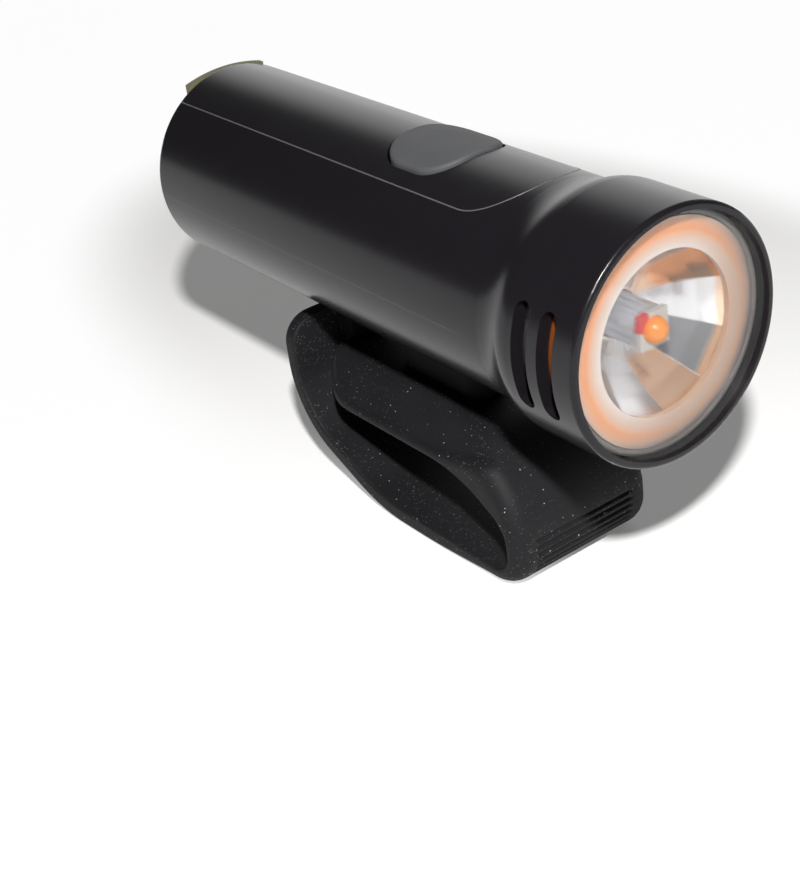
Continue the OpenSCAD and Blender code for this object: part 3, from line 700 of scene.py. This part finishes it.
@dataclass
class Strap:
    """Rubber strap: saddle with sloping sides, brow, ribbed front, lower band and a tail that hooks on."""

    half_w: float = 12.0
    saddle_rear: float = 29.0
    saddle_z: float = -26.0
    crown_z: float = -20.5
    flat_half: float = 7.0
    side_slope: float = 0.98
    shoulder_soft: float = 0.7
    ridge_soft: float = 0.35
    plan_r: float = 11.0
    floor_z: float = -41.0
    band_t: float = 2.6
    nose: Pair = (71.6, -35.5)
    nose_r: float = 5.5
    brow: Pair = (64.6, -33.5)
    brow_r: float = 12.5
    brow_ease: float = 8.0
    eye: Pair = (69.5, -33.9)
    eye_r: float = 5.0
    ease_c: Pair = (58.852, -52.0)
    ease_r: float = 26.0
    ease_mid: float = 81.0
    ease_a: float = 59.53
    floor_c: Pair = (50.5, -15.0)
    floor_r: float = 26.0
    bend_c: Pair = (38.8, -22.912)
    bend_r: float = 14.0
    slope: float = 24.0
    split: float = 210.0
    bend_half: float = 14.0
    floor_cut: int = 7
    tail_top: float = -15.9
    tail_corner: float = 4.0
    hole_half: float = 3.3
    hole_z: Pair = (-20.9, -17.4)
    hole_steps: int = 12
    wing_steps: int = 16
    saddle_points: int = 44
    ease_points: int = 12
    brow_points: tuple[int, int] = (34, 29)
    under_points: tuple[int, int, int] = (8, 12, 24)
    front_points: int = 24
    nose_points: tuple[int, int] = (68, 8)
    floor_points: tuple[int, int, int] = (14, 12, 6)
    bend_points: int = 34
    tail_points: tuple[int, int, int] = (6, 8, 14)
    corner_points: int = 7
    wall_points: int = 5
    crowd: Pair = (1.7, 1.8)
    round_share: Pair = (0.6, 0.4)
    hole_share: float = 0.42
    outer_round: float = 0.8
    front_round: float = 2.6
    roll_in: int = 16
    roll_out: tuple[int, int] = (-6, 9)
    inner_round: float = 0.45
    end_round: float = 1.1
    rib_count: int = 8
    rib_step: float = 1.1
    rib_half: float = 8.5
    rib_depth: float = 0.36
    rib_mid: float = -1.8
    rib_soft: float = 0.24
    rib_end: float = 0.25
    rib_turn: Pair = (12.0, -68.0)
    clamp_x: float = 51.3
    clamp_half: Pair = (9.2, 5.2)
    clamp_t: float = 1.25
    least: float = 0.05
    least_wall: float = 0.15
    crown_spare: float = 3.0

    def rails(self) -> tuple[Array, Array, dict[str, int]]:
        """Outer and inner edge of the strap in the X-Z plane, matched point by point.

        The two rails go from the rear of the saddle forwards, down the brow and round the nose, back along
        the floor, up the slope and round the rear bend to the top of the tail. Each run of points on the
        outer rail has a run of as many points on the inner one.

        Returns:
            The outer rail, the inner rail, and where the named runs start.
        """
        ease = self.brow[0] - self.brow_ease
        brow_top = self.brow[1] + self.brow_r
        turn = 270.0 - self.slope
        front = self.nose[0] + self.nose_r
        back = self.bend_c[0] - self.bend_r
        # the points crowd towards the round rear end of the saddle and the round top of the tail
        share = np.linspace(0.0, 1.0, self.saddle_points) ** self.crowd[0]
        saddle_x = self.saddle_rear + share * (ease - self.saddle_rear)
        saddle = [
            np.stack([saddle_x, np.full_like(saddle_x, z)], axis=-1) for z in (self.crown_z, self.saddle_z)
        ]
        first, second, third = self.tail_points
        share = (1.0 - np.linspace(0.0, 1.0, third)[1:]) ** self.crowd[1]
        tail_z = np.concatenate(
            [
                np.linspace(self.bend_c[1], self.hole_z[0], first),
                np.linspace(*self.hole_z, second)[1:],
                self.tail_top - share * (self.tail_top - self.hole_z[1]),
            ]
        )
        # they lie closer where the ribs are, too
        first, last = self.rib_turn
        sparse, close = self.brow_points
        brow_a = np.concatenate([np.linspace(90.0, first, sparse), np.linspace(first, 0.0, close)[1:]])
        close, sparse = self.nose_points
        nose_a = np.concatenate([np.linspace(0.0, last, close), np.linspace(last, -90.0, sparse)[1:]])
        first, second, third = self.under_points
        ease_in = arc(self.ease_c, self.ease_r, 90.0, self.ease_mid, first)
        ease_in = resample(np.concatenate([[(ease, self.saddle_z)], ease_in]), self.ease_points)
        under = arc(self.ease_c, self.ease_r, self.ease_mid, self.ease_a, second)
        under = np.concatenate([under, arc(self.eye, self.eye_r, self.ease_a, 0.0, third)[1:]])
        under = resample(under, len(brow_a))

        def lower(depth: float, top: float) -> list[Array]:
            """The runs from the front, which starts at top, to the tail, at one depth in the strap."""
            x, z = front - depth, self.floor_z + depth
            flat, curve, slope = self.floor_points
            bend = arc(self.bend_c, self.bend_r - depth, turn, 180.0, self.bend_points)
            floor_bend = arc(self.floor_c, self.floor_r - depth, 270.0, turn, curve)
            return [
                line((x, top), (x, self.nose[1]), self.front_points)[1:-1],
                ring(self.nose, self.nose_r - depth, nose_a),
                line((self.nose[0], z), (self.floor_c[0], z), flat)[1:],
                floor_bend[1:],
                line(floor_bend[-1], bend[0], slope)[1:],
                bend[1:],
                np.stack([np.full_like(tail_z, back + depth), tail_z], axis=-1)[1:],
            ]

        outer = [
            saddle[0],
            line((ease, self.crown_z), (self.brow[0], brow_top), self.ease_points)[1:],
            ring(self.brow, self.brow_r, brow_a)[1:],
            *lower(0.0, self.brow[1]),
        ]
        inner = [saddle[1], ease_in[1:], under[1:], *lower(self.band_t, self.eye[1])]
        starts = np.cumsum([0] + [len(run) for run in outer])
        names = ("saddle", "ease", "brow", "front", "nose", "floor", "floor_bend", "slope", "bend", "tail")
        return np.concatenate(outer), np.concatenate(inner), dict(zip(names, starts.tolist()))

    def half_widths(self, outer: Array, starts: dict[str, int]) -> Array:
        """Half the strap's width at each station.

        The rear of the saddle is round in plan and the top corners of the tail are round seen from behind:
        there the width follows a quarter circle on either side.

        Args:
            outer: the outer rail.
            starts: where the named runs start.

        Returns:
            One half-width for each station.
        """
        at = np.arange(len(outer))
        rear = fall(self.saddle_rear + self.plan_r - outer[:, 0], self.plan_r)
        top = fall(outer[:, 1] - self.tail_top + self.tail_corner, self.tail_corner)
        lost = np.where(at < starts["ease"], rear, 0.0) + np.where(at >= starts["tail"], top, 0.0)
        return self.half_w - lost

    def rib_wave(self, outer: Array, starts: dict[str, int]) -> Array:
        """Depth of the grooves between the grip ribs at each station.

        Each groove is a bell, depth exp(-(d / soft)^2), of the distance d along the surface.

        Args:
            outer: the outer rail.
            starts: where the named runs start.

        Returns:
            One depth for each station.
        """
        steps = np.linalg.norm(np.diff(outer, axis=0), axis=1)
        along = np.concatenate([[0.0], np.cumsum(steps)])
        along = along[starts["nose"]] - along
        grooves = self.rib_mid + (np.arange(self.rib_count) - (self.rib_count - 1) / 2.0) * self.rib_step
        bells = np.exp(-(((along[:, None] - grooves[None, :]) / self.rib_soft) ** 2))
        return self.rib_depth * bells.max(axis=1)

    def section(self, outer: Array, inner: Array, starts: dict[str, int]) -> tuple[Array, int, int]:
        """All cross-sections at once: each goes over the outer face, down a side, under and up again.

        The outer face lies at the smaller, rounded together, of the strap's thickness and the height of the
        saddle, whose sides slope down from soft shoulders:
        z = crown - slope s log(1 + exp((|y| - flat) / s)). The corners are quarter ellipses.

        Args:
            outer: the outer rail.
            inner: the inner rail.
            starts: where the named runs start.

        Returns:
            A (stations, points, 3) array, the number of points across a face and of points down a side.
        """
        at = np.arange(len(outer))
        span = outer - inner
        thick = np.linalg.norm(span, axis=1)
        lean = span / thick[:, None]
        w = self.half_widths(outer, starts)
        # the edges are rolled over further round the brow and the nose
        rolled = smoothstep(at, starts["ease"], starts["brow"] + self.roll_in)
        rolled = rolled * (1.0 - smoothstep(at, *(starts["floor"] + step for step in self.roll_out)))
        most, least = self.round_share
        corner = np.minimum(self.outer_round + (self.front_round - self.outer_round) * rolled, most * w)
        under = np.minimum(self.inner_round, least * w)
        edge = w - corner
        hole = np.minimum(self.hole_half, self.hole_share * edge)
        wing = np.linspace(0.0, 1.0, self.wing_steps + 1)
        mid = np.linspace(-1.0, 1.0, self.hole_steps + 1)

        def across(reach: Array) -> Array:
            """Places across a face: even between the hole's edges and even outside them."""
            left = -reach[:, None] + wing[None, :-1] * (reach - hole)[:, None]
            return np.concatenate([left, mid[None, :] * hole[:, None], -left[:, ::-1]], axis=1)

        y_out = across(edge)
        y_in = across(w - under)
        top = self.crown_z - self.side_slope * soft_ramp(np.abs(y_out) - self.flat_half, self.shoulder_soft)
        rise = (top - inner[:, 1:]) / np.maximum(lean[:, 1:], self.least)
        limit = np.where(at < starts["ease"], thick + self.crown_spare, thick)[:, None]
        above = limit - soft_ramp(limit - rise, self.ridge_soft)
        above = np.where((at >= starts["front"])[:, None], thick[:, None], above)
        # the rear end of the saddle is rounded over
        end = fall(self.end_round - (outer[:, 0] - self.saddle_rear), self.end_round)
        above = above - np.where(at < starts["ease"], end, 0.0)[:, None]
        patch = 1.0 - smoothstep(np.abs(y_out), self.rib_half - self.rib_end, self.rib_half + self.rib_end)
        above = above - self.rib_wave(outer, starts)[:, None] * patch
        # the clamp plate lies in a pocket under the saddle
        pocket = (np.abs(inner[:, 0] - self.clamp_x) < self.clamp_half[0]) & (at < starts["brow"])
        below = np.where(pocket[:, None] & (np.abs(y_in) < self.clamp_half[1]), self.clamp_t, 0.0)
        q = np.radians(np.linspace(0.0, 90.0, self.corner_points))[None, 1:]
        rim = above[:, -1:]
        side_y = edge[:, None] + corner[:, None] * np.sin(q)
        depth = np.clip(rim - under[:, None] - self.least_wall, self.least, corner[:, None])
        side_h = rim - depth * (1.0 - np.cos(q))
        wall = np.linspace(0.0, 1.0, self.wall_points)[None, 1:-1]
        wall_h = side_h[:, -1:] + (under[:, None] - side_h[:, -1:]) * wall
        wall_y = np.repeat(w[:, None], wall.shape[1], axis=1)
        foot_y = (w - under)[:, None] + under[:, None] * np.cos(q - q[:, :1])
        foot_h = under[:, None] * (1.0 - np.sin(q - q[:, :1]))
        right_y = np.concatenate([side_y, wall_y, foot_y], axis=1)
        right_h = np.concatenate([side_h, wall_h, foot_h], axis=1)
        y = np.concatenate([y_out, right_y, y_in[:, ::-1], -right_y[:, ::-1]], axis=1)
        h = np.concatenate([above, right_h, below[:, ::-1], right_h[:, ::-1]], axis=1)
        x = inner[:, :1] + lean[:, :1] * h
        z = inner[:, 1:] + lean[:, 1:] * h
        return np.stack([x, y, z], axis=-1), y_out.shape[1], right_y.shape[1]

    def build(self, finishes: Finishes) -> list[Piece]:
        """Makes the strap in two lengths that meet in the flat of the floor, where they look like one.

        The saddle and the nose stay with the light. The rest is left in place, on no moving body.

        Args:
            finishes: the finishes to dress it with.

        Returns:
            The length on the light and the length with the tail.
        """
        outer, inner, starts = self.rails()
        points, across, side = self.section(outer, inner, starts)
        rows, cols = points.shape[:2]
        quads = tube_quads(rows, cols)
        keep = np.ones(quads.shape[:2], bool)
        # rows of the hook's hole, and its columns on the outer face and on the inner one
        low, high = np.array(self.hole_z) + (-self.least, self.least)
        inside = (np.arange(rows) >= starts["tail"]) & (outer[:, 1] >= low) & (outer[:, 1] <= high)
        r0, r1 = np.flatnonzero(inside)[[0, -1]]
        c0, c1 = self.wing_steps, self.wing_steps + self.hole_steps
        d0, d1 = (across + side + across - 1 - c for c in (c1, c0))
        keep[r0:r1, c0:c1] = False
        keep[r0:r1, d0:d1] = False
        # its walls go from the one face to the other
        grid = np.arange(rows * cols).reshape(rows, cols)[r0 : r1 + 1]
        rim_out = self.rim(grid[:, c0 : c1 + 1])
        rim_in = self.rim(grid[:, d0 : d1 + 1][:, ::-1])
        walls = np.stack([rim_out, rim_in, np.roll(rim_in, -1), np.roll(rim_out, -1)], axis=-1)
        cut = starts["floor"] + self.floor_cut
        still = quads[:cut][keep[:cut]]
        moving = np.concatenate([quads[cut:][keep[cut:]], walls]) - cut * cols
        parts = (("strap_rubber", points[: cut + 1], still), ("strap_end_rubber", points[cut:], moving))
        made = []
        for name, rings, sides in parts:
            made.append(make_piece(name, rings, sides, end_caps(len(rings), cols)))
            finishes.dress(made[-1], Finishes.STRAP)
        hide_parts("strap_band")
        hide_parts("strap_band", "strap_tail")
        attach(made[0], Body.LIGHT.value)
        low, high = self.bend_ends()
        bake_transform(made[1])
        return made

    @staticmethod
    def rim(block: Array) -> Array:
        """The point numbers round the edge of a block of the grid, in order."""
        return np.concatenate([block[0, :-1], block[:-1, -1], block[-1, :0:-1], block[:0:-1, 0]])

    def bend_ends(self) -> tuple[tuple[float, ...], tuple[float, ...]]:
        """Where the bend at the foot of the tail starts and ends, a little either side of the split.

        Returns:
            Two points in the frame's metres.
        """
        r = self.bend_r - self.band_t / 2.0
        ends = arc(self.bend_c, r, self.split + self.bend_half, self.split - self.bend_half, 2)
        points = to_row(np.stack([ends[:, 0], np.zeros(2), ends[:, 1]], axis=-1))
        return tuple(points[0].tolist()), tuple(points[1].tolist())


@dataclass
class Button:
    """Grey rubber pad wrapped over the top of the body, with a shallow round dish."""

    middle: float = 55.0
    length: float = 14.0
    width: float = 13.0
    corner: float = 5.0
    rise: float = 0.5
    edge_r: float = 0.45
    wall: float = 2.4
    dish: float = 0.3
    dish_r: float = 4.2
    dish_power: float = 1.5
    outline_points: int = 160
    corner_points: int = 24
    face_rings: int = 22
    edge_rings: int = 8

    def outline(self) -> Array:
        """Rounded rectangle in plan: four quarter circles joined by straight sides.

        Returns:
            A (count, 2) array about the button's middle.
        """
        a = self.length / 2.0 - self.corner
        b = self.width / 2.0 - self.corner
        corners = [((a, b), 0.0), ((-a, b), 90.0), ((-a, -b), 180.0), ((a, -b), 270.0)]
        runs = [arc(at, self.corner, start, start + 90.0, self.corner_points) for at, start in corners]
        loop = np.concatenate([*runs, runs[0][:1]])
        return resample(loop, self.outline_points + 1)[:-1]

    def build(self, finishes: Finishes) -> list[Piece]:
        """Makes the pad from rings: z = sqrt(R^2 - y^2) less the dish, the rounded edge and the wall.

        Args:
            finishes: the finishes to dress it with.

        Returns:
            The pad, on the button's body.
        """
        edge = self.outline()
        reach = np.linalg.norm(edge, axis=1, keepdims=True)
        shares = np.linspace(0.0, 1.0, self.face_rings)
        t = np.radians(np.linspace(0.0, 90.0, self.edge_rings))[1:]
        flat = np.zeros(self.face_rings)
        inset = np.concatenate([flat + self.edge_r, self.edge_r * (1.0 - np.sin(t)), [0.0, 0.0]])
        scale = np.concatenate([shares, np.ones(self.edge_rings), [0.0]])
        drop = np.concatenate([flat, self.edge_r * (1.0 - np.cos(t)), [self.wall, self.wall]])
        plan = edge[None] * (1.0 - inset[:, None, None] / reach[None]) * scale[:, None, None]
        away = np.linalg.norm(plan, axis=2)
        dish = self.dish * np.clip(1.0 - (away / self.dish_r) ** 2, 0.0, 1.0) ** self.dish_power
        dish[-2:] = 0.0
        r = BODY_R + self.rise
        z = np.sqrt(r**2 - plan[:, :, 1] ** 2) - drop[:, None] - dish
        points = np.stack([plan[:, :, 0] + self.middle, plan[:, :, 1], z], axis=-1)
        piece = make_piece("button_pad", points, tube_quads(len(scale), len(edge)))
        finishes.dress(piece, Finishes.BUTTON)
        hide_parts("mode_button")
        return [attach(piece, Body.BUTTON.value)]


@dataclass
class Seam:
    """Fine edge in the gap round the top cover, painted pale grey as the highlight it catches."""

    half_w: float = 8.825
    front: float = 76.125
    corner: float = 8.125
    rear: float = 0.9
    bead_r: float = 0.11
    bead_steps: int = 10
    sink: float = 0.07
    run_points: int = 40

    def build(self, finishes: Finishes) -> list[Piece]:
        """Carries a small circle along the cover's outline, laid on the body: z = sqrt(R^2 - y^2).

        Args:
            finishes: the finishes to dress it with.

        Returns:
            The bead, on the light.
        """
        side = self.half_w - self.corner
        mid = self.front - self.corner
        count = self.run_points
        plan = np.concatenate(
            [
                line((self.rear, -self.half_w), (mid, -self.half_w), count)[:-1],
                arc((mid, -side), self.corner, -90.0, 0.0, count),
                arc((mid, side), self.corner, 0.0, 90.0, count),
                line((mid, self.half_w), (self.rear, self.half_w), count)[1:],
            ]
        )
        r = BODY_R - self.sink
        up = np.stack([np.zeros(len(plan)), plan[:, 1], np.sqrt(r**2 - plan[:, 1] ** 2)], axis=-1)
        path = np.stack([plan[:, 0], up[:, 1], up[:, 2]], axis=-1)
        up /= np.linalg.norm(up, axis=1, keepdims=True)
        along = np.gradient(path, axis=0)
        along /= np.linalg.norm(along, axis=1, keepdims=True)
        across = np.cross(along, up)
        a = np.linspace(0.0, 2.0 * math.pi, self.bead_steps, endpoint=False)
        round_it = np.cos(a)[None, :, None] * across[:, None, :] + np.sin(a)[None, :, None] * up[:, None, :]
        points = path[:, None, :] + self.bead_r * round_it
        shape = points.shape[:2]
        piece = make_piece("cover_seam", points, tube_quads(*shape), end_caps(*shape))
        finishes.dress(piece, Finishes.SEAM_HIGHLIGHT)
        return [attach(piece, Body.LIGHT.value)]


@dataclass
class LensCover:
    """Clear lens with eased edges, set back in the front rim."""

    back: float = 94.7
    front: float = 96.1
    r: float = 15.45
    ease: float = 0.4
    edge_points: tuple[int, int] = (10, 6)
    face_points: int = 12
    turns: int = 160

    def build(self, finishes: Finishes) -> list[Piece]:
        """Turns the lens: two flat faces joined by a wall with quarter-circle edges.

        Args:
            finishes: the finishes to dress it with.

        Returns:
            The lens, on the light.
        """
        e = self.ease
        front = arc((self.front - e, self.r - e), e, 0.0, 90.0, self.edge_points[0])
        small = e / 2.0
        back = arc((self.back + small, self.r - small), small, 90.0, 180.0, self.edge_points[1])
        outer = line((self.front, 0.0), (self.front, self.r - e), self.face_points)[:-1]
        inner = line((self.back, self.r - e), (self.back, 0.0), self.face_points)
        piece = lathe("lens_cover", np.concatenate([outer, front, back, inner]), self.turns)
        finishes.dress(piece, Finishes.LENS)
        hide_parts("lens")
        return [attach(piece, Body.LIGHT.value)]


@dataclass
class Studio:
    """Pale floor, lamp, surrounding light and the camera at the photograph's viewing angle."""

    camera_at: Triple = (0.177913, -0.123657, 0.134182)
    right: Triple = (0.596331, 0.793396, -0.122112)
    down: Triple = (0.339473, -0.387097, -0.857271)
    lens: float = 69.545
    sensor: float = 36.0
    nearest: float = 0.005
    floor_half: float = 3.0
    floor_color: Color = (0.97, 0.962, 0.945)
    floor_glow: Pair = (0.15, 0.97)
    glow_reach: Pair = (0.054, 0.078)
    glow_shape: Pair = (1.8, 0.9)
    glow_at: Pair = (-0.03, 0.045)
    sky_way: Triple = (-0.703, 0.683, 0.2)
    sky_dark: float = 0.045
    sky_bright: float = 1.3
    sky_edge: Pair = (0.8, 0.97)
    key_at: Triple = (0.22, -0.14, 0.257)
    key_aim: Triple = (0.0, 0.0, 0.03)
    key_size: float = 0.018
    key_power: float = 1.9

    @staticmethod
    def met_by(graph: Graph, *rays: str) -> Signal:
        """1 for some kinds of ray, such as Camera or Glossy."""
        return greatest([graph.node("ShaderNodeLightPath", output=f"Is {ray} Ray") for ray in rays])

    def build_floor(self) -> None:
        """Lays the floor, which keeps the shadow near the light and turns to white away from it."""
        s = self.floor_half
        mesh = bpy.data.meshes.new("floor")
        mesh.from_pydata([(-s, -s, 0.0), (s, -s, 0.0), (s, s, 0.0), (-s, s, 0.0)], [], [(0, 1, 2, 3)])
        floor = bpy.data.objects.new("floor", mesh)
        bpy.context.scene.collection.objects.link(floor)
        made = bpy.data.materials.new("floor_white")
        made.use_nodes = True
        graph = Graph(made.node_tree)
        seen = self.met_by(graph, "Camera", "Glossy", "Transmission")
        diffuse = graph.node("ShaderNodeBsdfDiffuse", None, {"Color": (*self.floor_color, 1.0)})
        glow = graph.node("ShaderNodeEmission", None, {"Color": (1.0, 1.0, 1.0, 1.0), "Strength": 1.0})
        place = graph.place()
        x = (graph.axis(place, "X") - self.glow_at[0]) / self.glow_shape[0]
        y = (graph.axis(place, "Y") - self.glow_at[1]) / self.glow_shape[1]
        low, high = self.floor_glow
        share = low + (high - low) * (x * x + y * y).math("SQRT").rise(*self.glow_reach)
        mixed = graph.node("ShaderNodeMixShader", None, {0: seen * share, 1: diffuse, 2: glow})
        graph.node("ShaderNodeOutputMaterial", None, {"Surface": mixed})
        mesh.materials.append(made)

    def build_lights(self) -> None:
        """Hangs the key lamp above the camera and sets the surroundings, bright on the object's far side."""
        lamp = bpy.data.lights.new("key", "AREA")
        lamp.shape = "DISK"
        lamp.size = self.key_size
        lamp.energy = self.key_power
        key = bpy.data.objects.new("key", lamp)
        key.location = self.key_at
        bpy.context.scene.collection.objects.link(key)
        way = Vector(self.key_aim) - key.location
        key.rotation_euler = way.to_track_quat("-Z", "Y").to_euler()
        world = bpy.data.worlds.new("studio")
        world.use_nodes = True
        graph = Graph(world.node_tree)
        way = graph.node("ShaderNodeTexCoord", output="Generated")
        dot = {"operation": "DOT_PRODUCT"}
        facing = graph.node("ShaderNodeVectorMath", dot, {0: way, 1: self.sky_way}, "Value")
        level = self.sky_dark + (self.sky_bright - self.sky_dark) * facing.rise(*self.sky_edge)
        level = level + self.met_by(graph, "Camera", "Transmission") * (1.0 - level)
        sky = graph.node("ShaderNodeBackground", None, {"Color": (1.0, 1.0, 1.0, 1.0), "Strength": level})
        graph.node("ShaderNodeOutputWorld", None, {"Surface": sky})
        bpy.context.scene.world = world

    def build_camera(self) -> None:
        """Sets the camera by its place and by the directions of the picture's right and down."""
        data = bpy.data.cameras.new("camera")
        data.lens = self.lens
        data.sensor_width = self.sensor
        data.sensor_fit = "AUTO"
        data.clip_start = self.nearest
        camera = bpy.data.objects.new("camera", data)
        right = Vector(self.right).normalized()
        up = -Vector(self.down).normalized()
        behind = right.cross(up).normalized()
        turn = Matrix((right, up, behind)).transposed()
        camera.matrix_world = Matrix.Translation(self.camera_at) @ turn.to_4x4()
        bpy.context.scene.collection.objects.link(camera)
        bpy.context.scene.camera = camera

    def build(self) -> None:
        """Makes the camera, floor and light, and leaves the picture's colours as they are."""
        self.build_camera()
        self.build_floor()
        self.build_lights()
        bpy.context.scene.view_settings.view_transform = "Standard"


def main() -> None:
    """Builds the studio, dresses the nodes and makes the light's own pieces."""
    logging.basicConfig(level=logging.INFO, format="%(name)s: %(message)s")
    Studio().build()
    finishes = Finishes()
    finishes.dress_nodes()
    for part in (Strap(), Button(), Seam(), LensCover()):
        for piece in part.build(finishes):
            log.info("piece %s: %d faces", piece.name, len(piece.data.polygons))


if __name__ == "__main__":
    main()
